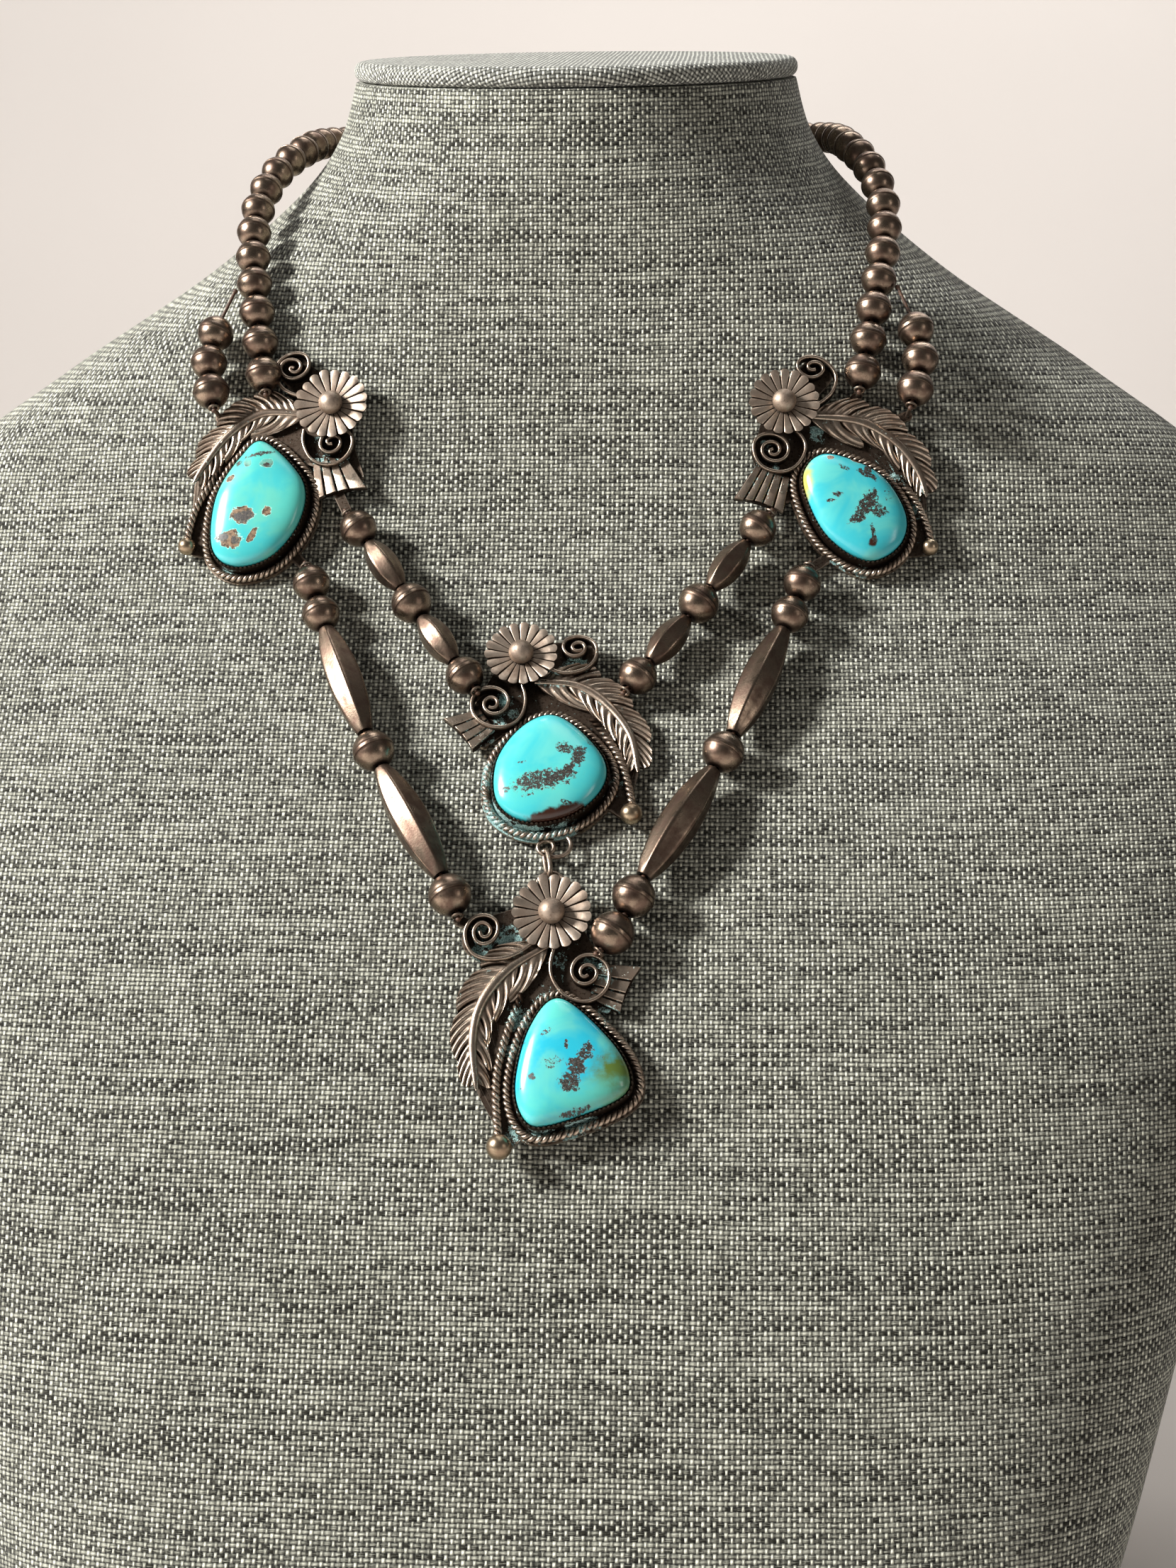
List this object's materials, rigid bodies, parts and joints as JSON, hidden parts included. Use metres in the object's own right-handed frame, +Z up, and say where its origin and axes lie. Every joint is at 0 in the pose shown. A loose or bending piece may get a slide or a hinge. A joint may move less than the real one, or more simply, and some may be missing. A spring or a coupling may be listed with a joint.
{
  "type": "station necklace on neck bust",
  "caption": "Two-strand bead necklace of dark silver with flower and feather stations set with turquoise, hanging on a linen neck bust.",
  "frame": {"origin": "on the bust's flat base, below the middle of the neckline", "axes": "+Z up, the front faces -Y, +X to the viewer's right"},
  "size_m": [0.302, 0.225, 0.33],
  "materials": {
    "linen": "plain weave of dark and pale threads",
    "station_silver": "oxidised silver, bright on its edges",
    "bead_silver": "dark satin silver",
    "turquoise": "polished stone with brown matrix",
    "thread": "waxed cord"
  },
  "bodies": {
    "root": {"bust": "linen", "neck_cap": "linen", "pendant_setting": "station_silver", "pendant_stone": "turquoise", "centre_setting": "station_silver", "centre_stone": "turquoise", "left_setting": "station_silver", "left_stone": "turquoise", "right_setting": "station_silver", "right_stone": "turquoise", "inner_left_bead_1": "bead_silver", "inner_left_bead_2": "bead_silver", "inner_left_bead_3": "bead_silver", "inner_left_bead_4": "bead_silver", "inner_left_bead_5": "bead_silver", "inner_right_bead_1": "bead_silver", "inner_right_bead_2": "bead_silver", "inner_right_bead_3": "bead_silver", "inner_right_bead_4": "bead_silver", "inner_right_bead_5": "bead_silver", "outer_left_bead_1": "bead_silver", "outer_left_bead_2": "bead_silver", "outer_left_bead_3": "bead_silver", "outer_left_bead_4": "bead_silver", "outer_left_bead_5": "bead_silver", "outer_left_bead_6": "bead_silver", "outer_right_bead_1": "bead_silver", "outer_right_bead_2": "bead_silver", "outer_right_bead_3": "bead_silver", "outer_right_bead_4": "bead_silver", "outer_right_bead_5": "bead_silver", "outer_right_bead_6": "bead_silver", "outer_right_bead_7": "bead_silver", "left_neck_beads": "bead_silver", "right_neck_beads": "bead_silver", "left_shoulder_beads": "bead_silver", "right_shoulder_beads": "bead_silver", "inner_left_thread": "thread", "inner_right_thread": "thread", "outer_left_thread": "thread", "outer_right_thread": "thread", "left_neck_thread": "thread", "right_neck_thread": "thread", "left_shoulder_thread": "thread", "right_shoulder_thread": "thread", "pendant_link": "station_silver", "clasp": "bead_silver"}
  },
  "joints": []
}
